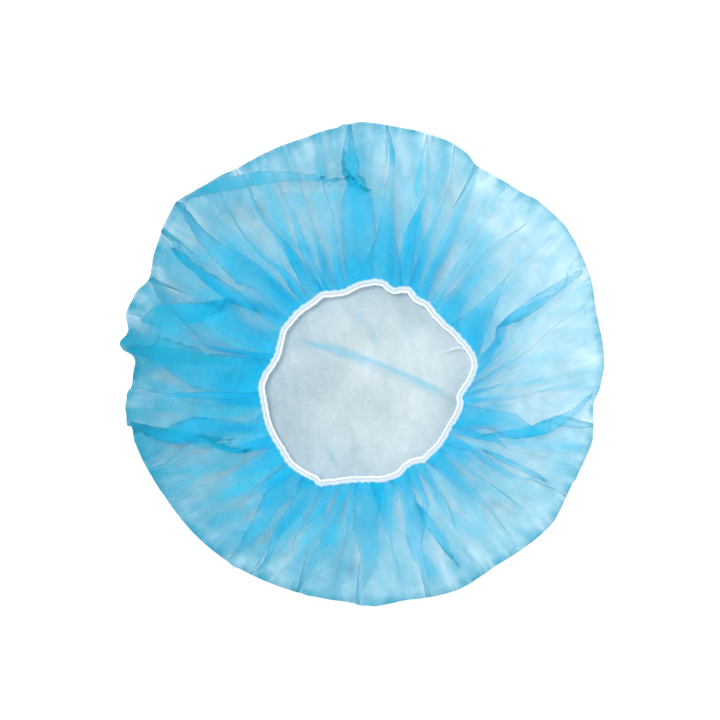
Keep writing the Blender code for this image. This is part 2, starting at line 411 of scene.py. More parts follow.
# %% Middle of the blank
bpy.ops.object.select_all(action="DESELECT")
bpy.ops.mesh.primitive_circle_add(vertices=PATCH_SIDES, radius=PATCH_RADIUS, fill_type="NOTHING")
patch = bpy.context.object
bpy.ops.object.mode_set(mode="EDIT")
bpy.ops.mesh.select_all(action="SELECT")
bpy.ops.mesh.fill_grid(span=PATCH_SIDES // 4)
bpy.ops.object.mode_set(mode="OBJECT")
print("middle:", len(patch.data.polygons), "faces")

# %% [markdown]
# ## Spinning the rings
#
# A tiny plane is merged to a point, and the point is drawn out into a row of edges, one
# for each ring. Spin then sweeps the row round the middle. Its last column falls on its
# first, so the doubles are merged.

# %% Rings round the middle
patch.select_set(False)
bpy.ops.mesh.primitive_plane_add(size=0.001, location=(0.0, 0.0, 0.0))
rings = bpy.context.object
bpy.ops.object.mode_set(mode="EDIT")
bpy.ops.mesh.merge(type="CENTER")
bpy.ops.transform.translate(value=(radii[0], 0.0, 0.0))
for inner, outer in zip(radii, radii[1:]):
    step = (outer - inner, 0.0, 0.0)
    bpy.ops.mesh.extrude_region_move(TRANSFORM_OT_translate={"value": step})
bpy.ops.mesh.select_all(action="SELECT")
bpy.ops.mesh.spin(steps=STRIPS, angle=2.0 * math.pi, center=(0, 0, 0), axis=(0, 0, 1))
bpy.ops.mesh.select_all(action="SELECT")
bpy.ops.mesh.remove_doubles(threshold=1e-5)
bpy.ops.object.mode_set(mode="OBJECT")
print("rings:", len(rings.data.polygons), "faces")

# %% [markdown]
# ## Closing the gap
#
# The two parts are joined, and the narrow gap between them is filled with triangles, as
# neither side has the other's number of cells. The edges of the gap are the ones near it
# that only one face uses. The disc's faces look down, because the crown's outside is its
# underside here.

# %% Points and edges of a piece


def points_of(piece):
    """All vertices of a piece as an array."""
    flat = np.empty(len(piece.data.vertices) * 3)
    piece.data.vertices.foreach_get("co", flat)
    return flat.reshape(-1, 3)


def put_points(piece, points):
    piece.data.vertices.foreach_set("co", np.asarray(points, float).ravel())
    piece.data.update()


def edge_use(piece):
    """How many faces use each edge."""
    used = np.zeros(len(piece.data.edges), int)
    edges = np.empty(len(piece.data.loops), int)
    piece.data.loops.foreach_get("edge_index", edges)
    np.add.at(used, edges, 1)
    return used


open_edges = int((edge_use(rings) == 1).sum())
print("rings' two edges:", open_edges, "open sides")

# %% Close the gap
patch.select_set(True)
bpy.ops.object.join()
crown_cloth = bpy.context.object
crown_cloth.name = crown_cloth.data.name = "crown_cloth"
flat = points_of(crown_cloth)
radius = np.hypot(flat[:, 0], flat[:, 1])
near = (radius > PATCH_RADIUS - 1e-4) & (radius < RINGS_START + 1e-4)
faces_at = edge_use(crown_cloth)
bpy.ops.object.mode_set(mode="EDIT")
bpy.ops.mesh.select_mode(type="EDGE")
bpy.ops.mesh.select_all(action="DESELECT")
bpy.ops.object.mode_set(mode="OBJECT")
for edge in crown_cloth.data.edges:
    start, end = edge.vertices
    edge.select = faces_at[edge.index] == 1 and near[start] and near[end]
bpy.ops.object.mode_set(mode="EDIT")
bpy.ops.mesh.fill(use_beauty=True)
bpy.ops.mesh.select_all(action="SELECT")
bpy.ops.mesh.normals_make_consistent(inside=False)
bpy.ops.object.mode_set(mode="OBJECT")
if crown_cloth.data.polygons[0].normal.z > 0.0:
    crown_cloth.data.flip_normals()
area = sum(face.area for face in crown_cloth.data.polygons)
print("flat disc:", round(area, 4), "m2 of", round(math.pi * BLANK_DIAMETER ** 2 / 4.0, 4))

# %% [markdown]
# ## The flat map
#
# The flat disc is also the UV map, so the nonwoven's fibres follow the cloth into every
# fold. It has to be laid before the disc is gathered. Unwrapping the gathered cloth would
# tear the map at each tuck.

# %% Flat map


def lay_flat_map(piece):
    """UV map from the flat blank: the whole disc fills the map."""
    layer = piece.data.uv_layers.new(name="blank")
    corners = np.empty(len(piece.data.loops), int)
    piece.data.loops.foreach_get("vertex_index", corners)
    flat = points_of(piece)[corners, :2]
    layer.data.foreach_set("uv", (flat / BLANK_DIAMETER + 0.5).ravel())


lay_flat_map(crown_cloth)
blank_points = points_of(crown_cloth)
print("blank:", len(blank_points), "points,", len(crown_cloth.data.polygons), "faces")

# %% [markdown]
# ## Sharp creases
#
# Some marks are only sharp creases in cloth that lies open. A row gives the cloth, how
# strong the crease is, and points on it in millimetres. A smooth path runs through them.

# %% Creases
Crease = namedtuple("Crease", "cloth strength points")
CREASES = [Crease(*row) for row in (
    ("lower", 1.0, ((-46, 16), (9, 1), (37, -12), (61, -24))),
    ("lower", 0.4, ((-24, -55), (-16, -69))),
    ("lower", 0.3, ((-16, 40), (6, 22), (10, 8))),
    ("upper", 0.9, ((-77, 117), (-53, 86), (-26, 69))),
    ("upper", 1.0, ((-130, 20), (-106, 25), (-85, 34))),
    ("upper", 0.8, ((-113, 25), (-113, 8))),
    ("upper", 0.7, ((-113, 10), (-88, 5), (-61, 3))),
    ("upper", 0.6, ((-53, 104), (-10, 110))),
    ("upper", 0.7, ((-33, 128), (-11, 120), (7, 113))),
    ("upper", 0.7, ((-17, 133), (-7, 136), (3, 127), (7, 116))),
    ("upper", 0.8, ((68, -47), (110, -53), (150, -55))),
    ("upper", 0.4, ((95, 68), (137, 68))),
    ("upper", 0.5, ((77, 33), (98, 28))),
    ("upper", 0.9, ((16, 146), (30, 96), (27, 55))),
    ("upper", 0.8, ((40, 141), (36, 106), (32, 54))),
    ("upper", 0.8, ((34, -83), (42, -110), (46, -145))),
    ("upper", 0.6, ((45, -77), (56, -98), (75, -113))),
    ("upper", 0.5, ((-113, 45), (-86, 60))),
    ("upper", 0.7, ((-129, 68), (-114, 69), (-97, 67))),
    ("upper", 0.7, ((-123, 67), (-102, 47), (-87, 34))),
    ("upper", 0.6, ((-50, 84), (-44, 65), (-50, 46))),
    ("upper", 0.6, ((-24, 86), (-25, 62))),
    ("upper", 0.6, ((-45, -88), (-58, -112))),
    ("upper", 0.6, ((-26, -88), (-38, -118))),
    ("upper", 0.5, ((92, 24), (128, 34))),
    ("upper", 0.5, ((60, -92), (84, -118))),
    ("lower", 0.5, ((-120, -60), (-96, -92), (-60, -118))),
    ("lower", 0.4, ((60, 120), (96, 96), (128, 56))),
    ("lower", 0.4, ((-24, -121), (-14, -133), (-2, -138))),
)]
print("creases:", len(CREASES))


# %% A path through points
def bent_path(rows, count=28):
    """Points, widths and directions on a smooth path through the rows, in metres."""
    rows = np.array(rows, float) / 1000.0
    legs = np.linalg.norm(np.diff(rows[:, :2], axis=0), axis=1)
    places = np.append(0.0, np.cumsum(legs)) / legs.sum()
    fit = np.polyfit(places, rows[:, :2], min(len(rows) - 1, 2))
    along = np.linspace(0.0, 1.0, count)
    path = sum(np.outer(along ** power, fit[-1 - power]) for power in range(len(fit)))
    width = np.interp(along, places, rows[:, 2])
    step = np.gradient(path, axis=0)
    return path, width, step / np.linalg.norm(step, axis=1)[:, None]


longest_crease = max(CREASES, key=lambda crease: len(crease.points))
ends = bent_path([(*row, 0.0) for row in longest_crease.points])[0][[0, -1]]
print("the crease with most points is", round(math.dist(*ends) * 1000), "mm from end to end")

# %% [markdown]
# ## Finer cells along two creases
#
# The first two creases lie in the opening, where they show best. The blank's points are
# drawn towards them, so the cells there are fine and the creases can be thin. Finer cells
# everywhere would do it too, but the mesh would be too large.

# %% Crowd the cells along a crease
CROWD_REACH = 0.012
CROWD_SHARE = 0.72


def draw_cells_to_crease(flat, rows):
    """Crowd the flat cells near a crease, so that the crease can be thin."""
    path, _, step = bent_path([(*row, 0.0) for row in rows], 90)
    apart = flat[:, None, :2] - path[None]
    near = np.argmin((apart ** 2).sum(axis=2), axis=1)
    apart = apart[np.arange(len(flat)), near]
    side = np.stack([-step[near, 1], step[near, 0]], axis=1)
    across = (apart * side).sum(axis=1)
    beyond = np.linalg.norm(apart - side * across[:, None], axis=1)
    hold = np.clip(1.0 - beyond / CROWD_REACH, 0.0, 1.0)
    inside = np.clip(across / CROWD_REACH, -1.0, 1.0)
    pull = CROWD_SHARE * CROWD_REACH / np.pi * np.sin(np.pi * inside) * hold
    flat[:, :2] -= side * pull[:, None]


for crease in CREASES[:2]:
    draw_cells_to_crease(blank_points, crease.points)
moved = np.linalg.norm(blank_points - points_of(crown_cloth), axis=1)
print("cells drawn by up to", round(moved.max() * 1000, 2), "mm")

# %% [markdown]
# ## Strips by their true length
#
# The blank's radius runs along a strip, over the rim and up to the hem, so a point goes to
# the place on the strip that is as far from the middle as it is on the flat disc. The cloth
# then keeps its length. The strip's slope comes with it, so that tucks and crumples can
# stand square to the cloth.

# %% Strip places
STRIP_SAMPLES = 2001


def strip_places(flat_radius):
    """Place along its strip, 0 to 1, of cloth at each flat radius, by its true length."""
    places = np.linspace(0.0, 1.0, STRIP_SAMPLES)
    rim, mouth = (read_along(station_column(name), places) for name in ("rim", "mouth"))
    radius = rim * CROWN_RADIUS + mouth * MOUTH_RADIUS
    height = (read_along(station_column("rim_lift"), places) * RIM_HEIGHT
              + read_along(station_column("puff_lift"), places) * PUFF_HEIGHT
              + read_along(station_column("mouth_lift"), places) * MOUTH_HEIGHT)
    length = np.append(0.0, np.cumsum(np.hypot(np.diff(radius), np.diff(height))))
    print("a strip is", round(length[-1] * 1000, 1), "mm long, the blank's radius is",
          round(BLANK_DIAMETER * 500, 1), "mm")
    place = np.interp(flat_radius / (BLANK_DIAMETER / 2.0) * length[-1], length, places)
    slope_r = np.gradient(radius, length)
    slope_z = np.gradient(height, length)
    facing = np.stack([np.interp(place, places, slope_z), -np.interp(place, places, slope_r)])
    return place, facing


flat_radius = np.hypot(blank_points[:, 0], blank_points[:, 1])
bearing = np.degrees(np.arctan2(blank_points[:, 1], blank_points[:, 0])) % 360.0
place, facing = strip_places(flat_radius)

# %% [markdown]
# ## Upper and lower cloth
#
# Past the rim the cloth is the upper one. The rim weight falls again there, to nothing at
# the mouth, so it also says how far out a point lies. The hem is the last bit of the
# strip, where crumples and pleats fade out under the stitches.

# %% Weights of each point
HEM_START = 0.93

rim_weight = read_along(station_column("rim"), place)
mouth_weight = read_along(station_column("mouth"), place)
ring_radius = np.clip(rim_weight, 0, 2) * CROWN_RADIUS + mouth_weight * MOUTH_RADIUS
out = np.clip(rim_weight, 0.0, 1.0)
upper = place > RIM_PLACE
hem = np.clip((mouth_weight - HEM_START) / (1.0 - HEM_START), 0.0, 1.0)
print("upper cloth:", int(upper.sum()), "of", len(upper), "points")

# %% [markdown]
# ## Tucks
#
# Towards the edge the disc has far more cloth than the mouth has room for, up to four
# times as much. The spare cloth lies in tucks, where the strip runs on, turns back under
# itself and runs on again. Three layers lie on each other there, which makes the dark
# wedges in the photo. A row gives where a tuck meets the outline, and its size at the
# mouth, halfway and at the outline. TUCK is the size of a tuck of 1.0, in metres.

# %% Tucks
TUCK = 0.0080
Tuck = namedtuple("Tuck", "outline mouth half rim")
TUCKS = [Tuck(*row) for row in (
    (5, 0.9, 0.10, 0.00), (15, 0.9, 0.30, 0.05), (27, 1.1, 0.35, 0.10), (35, 0.8, 0.20, 0.00),
    (42, 1.1, 0.45, 0.00), (50, 0.9, 0.15, 0.00), (60, 1.0, 0.75, 0.45), (67, 0.7, 0.35, 0.15),
    (74, 0.9, 0.50, 0.25), (84, 1.0, 0.60, 0.30), (93, 1.2, 1.35, 0.35), (102, 0.8, 0.25, 0.05),
    (110, 0.9, 0.20, 0.05), (116, 0.8, 0.45, 0.05), (123, 0.7, 0.40, 0.20), (130, 0.8, 0.30, 0.10),
    (139, 1.0, 1.00, 0.40), (146, 1.0, 0.80, 0.40), (158, 1.2, 1.30, 0.45), (168, 0.7, 0.30, 0.15),
    (177, 1.4, 1.50, 0.35), (186, 0.9, 0.45, 0.10), (197, 1.1, 0.80, 0.45), (206, 0.9, 0.55, 0.10),
    (216, 1.4, 0.45, 0.05), (227, 0.9, 0.20, 0.00), (235, 1.3, 0.90, 0.20), (242, 1.0, 0.55, 0.20),
    (247, 0.8, 0.20, 0.00), (254, 1.0, 0.70, 0.25), (261, 0.7, 0.20, 0.00), (269, 1.2, 1.10, 0.35),
    (277, 0.9, 0.20, 0.00), (286, 1.1, 0.80, 0.40), (293, 0.8, 0.20, 0.05), (300, 0.9, 0.20, 0.00),
    (312, 1.1, 0.50, 0.05), (319, 0.7, 0.20, 0.00), (327, 0.9, 0.30, 0.15), (336, 0.8, 0.20, 0.00),
    (345, 1.2, 0.80, 0.40), (355, 1.0, 0.20, 0.00),
)]
largest = max(max(tuck[1:]) for tuck in TUCKS) * TUCK
print("tucks:", len(TUCKS), "up to", round(largest * 1000), "mm")

# %% [markdown]
# ## Turning the strips back
#
# A tuck is a sideways shift of the strips that falls so steeply that they turn back. Its
# middle TURN_SHARE turns back, and the rest leads up to it. Tucks also sway on their way
# out. The lower cloth has tucks only near the rim.

# %% Shift of the tucks
TURN_SHARE = 0.34
EDGE_WIDTH = 0.28
LEAST_RADIUS = 0.01
LOWER_TUCKS_START = 0.60
Sway = namedtuple("Sway", "degrees waves start lean")
SWAYS = (Sway(1.3, 3.0, 1.0, 4.0), Sway(1.0, 8.0, 2.0, -6.0), Sway(0.5, 17.0, 0.0, 9.0))


def tuck_sizes(row, out, upper):
    """Size of the tuck at each point, in metres."""
    sizes = np.array([[tuck.mouth, tuck.half, tuck.rim] for tuck in TUCKS])[row]
    upper_size = np.where(out < 0.5, sizes[:, 0] + (sizes[:, 1] - sizes[:, 0]) * (out / 0.5),
                          sizes[:, 1] + (sizes[:, 2] - sizes[:, 1]) * ((out - 0.5) / 0.5))
    near_rim = np.clip((out - LOWER_TUCKS_START) / (1.0 - LOWER_TUCKS_START), 0.0, 1.0)
    return TUCK * np.where(upper, upper_size, sizes[:, 2] * near_rim ** 1.5)


def tuck_shift(bearing, out, ring_radius, upper):
    """Sideways shift of the cloth in its tucks, their sizes, and their turned edges."""
    centres = np.array([tuck.outline for tuck in TUCKS], float)
    middles = (centres + np.append(centres[1:], centres[0] + 360.0)) / 2.0
    starts = np.append(middles[-1] - 360.0, middles[:-1])
    angle = np.radians(bearing)
    wander = sum(sway.degrees * np.sin(sway.waves * angle + sway.start + sway.lean * out)
                 for sway in SWAYS)
    turned = (bearing + np.sin(np.pi * out) * wander - starts[0]) % 360.0 + starts[0]
    row = np.clip(np.searchsorted(starts, turned, side="right") - 1, 0, len(TUCKS) - 1)
    off = turned - centres[row]
    half_width = np.where(off > 0.0, middles[row] - centres[row], centres[row] - starts[row])
    phase = off / half_width
    size = tuck_sizes(row, out, upper)
    turn = TURN_SHARE * (0.35 + 0.65 * (1.0 - out))
    bend = np.where(np.abs(phase) < turn, 0.5 * phase / turn,
                    np.sign(phase) * (0.5 + 0.5 * (np.abs(phase) - turn) / (1.0 - turn)))
    turned_length = turn * np.radians(half_width) * np.maximum(ring_radius, LEAST_RADIUS)
    overlap = np.clip(size * 0.5 * np.pi / turned_length - 1.0, 0.0, 1.0)
    edge = overlap * np.exp(-((np.abs(phase) - turn) / EDGE_WIDTH) ** 2)
    return -size * np.sin(np.pi * bend), size, edge


shift, tuck_size, tuck_edge = tuck_shift(bearing, out, ring_radius, upper)
print("tucks shift the cloth by up to", round(np.abs(shift).max() * 1000, 1), "mm")

# %% [markdown]
# ## Small gathers
#
# Between the tucks the hem pulls many small gathers, which fade a few centimetres out. They
# are sums of waves round the cap. Their phases wander, so no two gathers are alike. A row
# gives the number of waves, their size in metres, their reach and where they start.

# %% Small gathers
Gather = namedtuple("Gather", "waves size reach turn")
GATHERS = [Gather(*row) for row in (
    (53, 0.0017, 0.34, 0.3), (71, 0.0015, 0.22, 2.1), (89, 0.0013, 0.15, 4.4),
    (37, 0.0016, 0.45, 5.2),
)]


def gather_shift(bearing, out):
    """Sideways shift of the small gathers, in metres."""
    angle = np.radians(bearing)
    shift = np.zeros(len(bearing))
    for gather in GATHERS:
        wander = (1.6 * np.sin(5.0 * angle + gather.turn)
                  + 1.1 * np.sin(11.0 * angle + 2.0 * gather.turn))
        swell = 0.65 + 0.35 * np.sin(9.0 * angle + 3.0 * gather.turn)
        fade = np.exp(-((out / gather.reach) ** 2))
        shift += gather.size * swell * fade * np.sin(gather.waves * angle + wander)
    return shift


small_shift = gather_shift(bearing, out) * upper
shift = shift + small_shift
print("small gathers shift it by up to", round(np.abs(small_shift).max() * 1000, 1), "mm")

# %% [markdown]
# ## Pleats
#
# Fine pleats stand up between the gathers near the hem. They are waves too, but of height,
# and sharper on top than below, as pressed pleats are.

# %% Pleats
PLEATS = [Gather(*row) for row in (
    (61, 0.00055, 0.42, 1.0), (97, 0.00040, 0.26, 3.0), (43, 0.00060, 0.60, 5.0),
)]


def pleat_heights(bearing, out):
    """Height of the fine pleats that run out from the hem, in metres."""
    angle = np.radians(bearing)
    height = np.zeros(len(bearing))
    for pleat in PLEATS:
        wander = (1.7 * np.sin(6.0 * angle + pleat.turn)
                  + 1.0 * np.sin(13.0 * angle + 2.0 * pleat.turn) + 2.0 * out)
        swell = 0.55 + 0.45 * np.sin(8.0 * angle + 3.0 * pleat.turn)
        wave = np.sin(pleat.waves * angle + wander)
        fade = np.exp(-((out / pleat.reach) ** 2))
        height += pleat.size * swell * fade * (wave + 0.3 * wave ** 3)
    return height


pleats = pleat_heights(bearing, out)
print("pleats stand up to", round(pleats.max() * 1000, 1), "mm high")

# %% [markdown]
# ## Crumples
#
# Thin nonwoven keeps every crumple. Crossing ridges of four sizes give the low ones. A row
# gives the length of their waves in metres and their share of the height. The random
# numbers have a fixed seed, so each run gives the same cloth.

# %% Crumples
CRUMPLES = ((0.055, 0.45), (0.037, 0.35), (0.024, 0.22), (0.016, 0.14))
RIDGES_OF_A_SIZE = 3
CRUMPLE_HEIGHT = 0.0010


def crumple(flat_x, flat_y):
    """Low random creasing of the cloth, in metres, from a few crossing ridges."""
    rng = np.random.default_rng(7)
    height = np.zeros(len(flat_x))
    for wave_length, size in CRUMPLES:
        for _ in range(RIDGES_OF_A_SIZE):
            angle = rng.uniform(0.0, math.pi)
            phase, _, bend_phase = rng.uniform(0.0, 2.0 * math.pi, 3)
            along = flat_x * math.cos(angle) + flat_y * math.sin(angle)
            across = flat_y * math.cos(angle) - flat_x * math.sin(angle)
            wave = (2.0 * math.pi * along / wave_length
                    + 1.4 * np.sin(across / wave_length + bend_phase))
            height += size * (1.0 - 2.0 * np.abs(np.sin(wave + phase)) ** 0.8)
    return height * CRUMPLE_HEIGHT


crumples = crumple(blank_points[:, 0], blank_points[:, 1])
print("crumples:", round(crumples.min() * 1000, 1), "to", round(crumples.max() * 1000, 1), "mm")

# %% [markdown]
# ## Facets
#
# The larger crumples are loose facets, each a shallow cone round a random point. Where two
# facets meet there is a crease, as sharp as both facets are strong. Their edges are bent a
# little, because straight ones look like cut glass.

# %% Facets
FACET_SIZE = 0.030
FACET_SLOPE = 0.060
FACET_BEND = 0.006
FACET_EDGE = 0.0022
POINTS_AT_ONCE = 8000


def facets(flat):
    """Crumpled facets: their low relief in metres, and the creases between them."""
    rng = np.random.default_rng(11)
    half = BLANK_DIAMETER / 2.0
    seeds = rng.uniform(-half, half, (int((BLANK_DIAMETER / FACET_SIZE) ** 2), 2))
    bend = FACET_BEND * np.stack([np.sin(flat[:, 1] / 0.017 + 1.0),
                                  np.sin(flat[:, 0] / 0.021)], axis=1)
    strength = rng.uniform(0.0, 1.0, len(seeds))
    relief = np.zeros(len(flat))
    line = np.zeros(len(flat))
    for start in range(0, len(flat), POINTS_AT_ONCE):
        part = slice(start, start + POINTS_AT_ONCE)
        away = np.linalg.norm(flat[part, None, :2] + bend[part, None] - seeds[None], axis=2)
        order = np.argsort(away, axis=1)[:, :2]
        first = np.take_along_axis(away, order[:, :1], axis=1)[:, 0]
        second = np.take_along_axis(away, order[:, 1:], axis=1)[:, 0]
        both = strength[order[:, 0]] * strength[order[:, 1]]
        relief[part] = FACET_SLOPE * first
        line[part] = np.exp(-((second - first) / FACET_EDGE) ** 2) * both
    return relief, line


relief, facet_line = facets(blank_points)
print("facets stand up to", round(relief.max() * 1000, 1), "mm high")

# %% [markdown]
# ## Laying the strips
#
# Each point is shifted with its tuck and its gathers and lands on the smooth form. The
# shift also lowers it by a third of the shift, so the layers of a tuck lie over each other
# and never cut through. Pleats and crumples are added square to the cloth. The lower
# cloth lies just over the floor, and its few tucks lift it a little. A cloth simulation
# would gather the disc as well, but it would put the tucks where it likes, and in the
# photo each one has its place.

# %% Lay the strips
TUCK_DROP = 0.33
HEM_EASE = 0.65
LOWER_GAP = 0.0003
LOWER_TUCK_LIFT = 0.10

gathered = envelope(place, bearing + np.degrees(shift / np.maximum(ring_radius, LEAST_RADIUS)))
from_middle = np.maximum(np.hypot(gathered[:, 0], gathered[:, 1]), 1e-6)
outward = gathered[:, :2] / from_middle[:, None]
layer = -TUCK_DROP * (1.0 - HEM_EASE * hem) * shift
wrinkle = (crumples + relief) * (1.0 - hem)
push = np.where(upper, layer + (wrinkle + pleats * (1.0 - hem)), 0.0)
gathered[:, :2] += outward * (facing[0] * push)[:, None]
gathered[:, 2] += facing[1] * push
lower_lift = LOWER_GAP + LOWER_TUCK_LIFT * (shift + tuck_size) + np.abs(wrinkle)
gathered[:, 2] += np.where(upper, 0.0, lower_lift)
print("cloth stands", round(gathered[:, 2].max() * 1000, 1), "mm high")

# %% [markdown]
# ## Pressed folds
#
# Some folds don't run to the mouth. They were pressed in when the cap was packed. A row
# gives the cloth, and points on the cap in millimetres, each with the fold's width there.
# The cloth is pushed across the line from both sides, so it lies in three layers along
# it. To make room for them its height follows the push, by the share in PRESSED_DROP, up
# to PRESSED_HIGH in metres. A fold fades out over FOLD_END past its ends.

# %% Pressed folds
Pressed = namedtuple("Pressed", "cloth points")
PRESSED = [Pressed(*row) for row in (
    ("upper", ((-120, 106, 3), (-100, 114, 7), (-66, 121, 8), (-16, 118, 3))),
    ("upper", ((-133, 30, 14), (-108, 33, 12), (-84, 35, 2))),
    ("upper", ((-120, 72, 4), (-86, 46, 9), (-52, 25, 5))),
    ("lower", ((-150, 10, 8), (-112, 4, 9), (-76, 0, 2))),
    ("both", ((-152, -40, 4), (-120, -48, 8), (-84, -50, 2))),
    ("upper", ((-12, 136, 2), (-7, 118, 6), (4, 112, 2))),
    ("upper", ((146, 62, 3), (110, 38, 8), (80, 16, 6))),
    ("upper", ((146, -24, 3), (120, -40, 8), (84, -46, 4))),
    ("upper", ((112, -72, 4), (92, -62, 4), (70, -52, 1))),
    ("upper", ((60, -128, 2), (44, -104, 6), (34, -88, 1))),
    ("upper", ((-98, -50, 3), (-74, -56, 6), (-56, -48, 2))),
)]
PRESSED_DROP = {"upper": 0.30, "lower": 0.08, "both": 0.15}
PRESSED_HIGH = 0.005
FOLD_END = 0.012
print("pressed folds:", len(PRESSED))


# %% Press a fold
def press_fold(points, rows, hold, drop):
    """Push the cloth across a line so that it lies in three layers along it."""
    path, width, step = bent_path(rows)
    apart = points[:, None, :2] - path[None]
    near = np.argmin((apart ** 2).sum(axis=2), axis=1)
    apart = apart[np.arange(len(points)), near]
    step = step[near]
    side = np.stack([-step[:, 1], step[:, 0]], axis=1)
    across = (apart * side).sum(axis=1)
    beyond = np.abs((apart * step).sum(axis=1))
    beyond = np.where((near == 0) | (near == len(path) - 1), beyond, 0.0)
    wide = width[near] * hold * np.clip(1.0 - beyond / FOLD_END, 0.0, 1.0)
    turn = np.maximum(0.5 * wide, 1e-5)
    inside = np.abs(across) < turn
    fall = np.clip((np.abs(across) - turn) / np.maximum(2.0 * wide, 1e-5), 0.0, 1.0)
    push = np.where(inside, -wide * np.sin(0.5 * np.pi * across / turn),
                    -np.sign(across) * wide * 0.5 * (1.0 + np.cos(np.pi * fall)))
    points[:, :2] += side * push[:, None]
    points[:, 2] += drop * np.minimum(1.0, PRESSED_HIGH / np.maximum(wide, 1e-5)) * (push + wide)
    edge = np.exp(-((np.abs(across) - turn) / np.maximum(0.45 * wide, 1e-5)) ** 2)
    return 0.45 * edge * (wide > 0.0005)


hold_hem = np.clip((0.90 - mouth_weight) / 0.25, 0.0, 1.0)
hold_rim = np.clip((1.0 - rim_weight) / 0.06, 0.0, 1.0)
held = {"both": hold_hem, "upper": hold_hem * upper * hold_rim,
        "lower": np.where(upper, 0.0, hold_rim)}
for pressed in PRESSED:
    drop = PRESSED_DROP[pressed.cloth]
    turned_edge = press_fold(gathered, pressed.points, held[pressed.cloth], drop)
    tuck_edge = np.maximum(tuck_edge, turned_edge)
print("turned edges:", round((tuck_edge > 0.2).mean() * 100, 1), "% of the cloth")

# %% [markdown]
# ## Creasing the cloth
#
# A crease lifts the cloth by half a millimetre, and its mask is kept, because the fibres
# lie denser there and show as a thin darker line. CREASE_LOOKS gives a crease's width in
# metres and how deep it looks. Creases are wider in the upper cloth, whose cells are
# larger. The facets' creases count for a fifth.

# %% Crease the cloth
CREASE_LOOKS = {"upper": (0.0027, 1.25), "lower": (0.0017, 1.0)}
CREASE_LIFT = 0.0005
FACET_CREASE = 0.20


def crease_mask(points, rows, width):
    """How near each point is to a line through the rows, from 0 to 1."""
    path, _, _ = bent_path([(*row, 0.0) for row in rows], 60)
    apart = points[:, None, :2] - path[None]
    distance = (apart ** 2).sum(axis=2)
    near = np.argmin(distance, axis=1)
    along = near / (len(path) - 1.0)
    ends = np.clip(np.minimum(along, 1.0 - along) / 0.15, 0.25, 1.0)
    return np.exp(-distance[np.arange(len(points)), near] / width ** 2) * ends


creased = FACET_CREASE * facet_line
for crease in CREASES:
    width, depth = CREASE_LOOKS[crease.cloth]
    mask = crease_mask(gathered, crease.points, width) * crease.strength * depth
    mask = mask * (upper == (crease.cloth == "upper")) * (1.0 - hem)
    creased = np.maximum(creased, mask)
    gathered[:, 2] += CREASE_LIFT * mask
print("creased:", round((creased > 0.2).mean() * 100, 1), "% of the cloth")

# %% Gather the blank
put_points(crown_cloth, gathered)
crown_cloth.data.shade_smooth()
areas = np.array([face.area for face in crown_cloth.data.polygons])
share = areas.sum() / (math.pi * BLANK_DIAMETER ** 2 / 4)
print("gathered cloth is", round(share, 3), "of the blank's area")

# %% [markdown]
# ## Clouds in the web
#
# A spunbond web is cloudy: its fibres lie thick in one place and thin in the next. Noise
# of four sizes on the flat disc gives that. It is kept on the points, because a pattern
# that is worked out once on the mesh renders faster than one in the material. A row gives
# the size of the clouds in metres and their share, and each size reads the noise at a
# level of its own.

# %% Clouds
CLOUDS = ((0.034, 0.50), (0.016, 0.45), (0.008, 0.50), (0.0045, 0.40))
CLOUD_CONTRAST = 1.6
CLOUD_LEVEL = 900.0


def cloud(flat):
    """Cloudy web of the nonwoven: more and fewer fibres, from about -1 to 1."""
    value = np.zeros(len(flat))
    for size, amount in CLOUDS:
        level = size * CLOUD_LEVEL
        for index, point in enumerate(flat):
            value[index] += amount * noise.noise(Vector((point[0] / size, point[1] / size, level)))
    return value * CLOUD_CONTRAST


clouds = cloud(blank_points)
print("clouds from", round(clouds.min(), 2), "to", round(clouds.max(), 2))

# %% [markdown]
# ## Streaks to the hem
#
# Gathers draw the fibres into streaks that run to the hem. The noise is the same, but it
# is read round the cap and along the radius, so it is long one way and narrow the other. A
# row gives how many streaks there are round the cap, how long they are, and their share.

# %% Streaks
STREAKS = ((22.0, 0.040, 0.9), (45.0, 0.026, 0.7), (80.0, 0.018, 0.5))


def streaks(flat):
    """Fine gathers that run to the hem: dense and open streaks, from about -1 to 1."""
    bearing = np.arctan2(flat[:, 1], flat[:, 0])
    radius = np.hypot(flat[:, 0], flat[:, 1])
    value = np.zeros(len(flat))
    for turns, length, amount in STREAKS:
        x, y, z = turns * np.cos(bearing), turns * np.sin(bearing), radius / length
        value += amount * np.array([noise.noise(Vector(place)) for place in zip(x, y, z)])
    return value


reach = flat_radius / (BLANK_DIAMETER / 2.0)
gathers = 1.0 + streaks(blank_points) * np.interp(reach, (0.45, 0.62, 1.0), (0.0, 0.55, 1.15))
print("streaks from", round(gathers.min(), 2), "to", round(gathers.max(), 2))

# %% [markdown]
# ## Bunched places and a deeper blue left side
#
# In three places the cloth is bunched together and much denser. A row gives the middle
# and the radius of a place in millimetres, and how much denser it is. The cover is also
# raised on some sides, most on the left, so the left half is a deeper blue: partly fuller
# cloth there, and partly painted shade for the left side, which gets less light.

# %% Bunched places and a deeper blue left side
Bunch = namedtuple("Bunch", "x y radius amount")
BUNCHES = (Bunch(-155, 11, 9, 1.3), Bunch(-3, 124, 11, 0.7), Bunch(-140, 2, 10, 0.5))
# The rows raise the cover most on the left: partly more cloth, partly painted shade.
FULLNESS_AND_SHADE = [Around(*row) for row in (
    (22, -0.26), (67, 0.18), (112, 0.26), (157, 0.68), (202, 0.94), (247, 0.40),
    (292, 0.06), (337, 0.06),
)]


def bunched(points):
    """How much denser the cloth is at the bunched places."""
    dense = np.zeros(len(points))
    for bunch in BUNCHES:
        away = np.hypot(points[:, 0] * 1000.0 - bunch.x, points[:, 1] * 1000.0 - bunch.y)
        dense += bunch.amount * np.exp(-(away / bunch.radius) ** 2)
    return dense


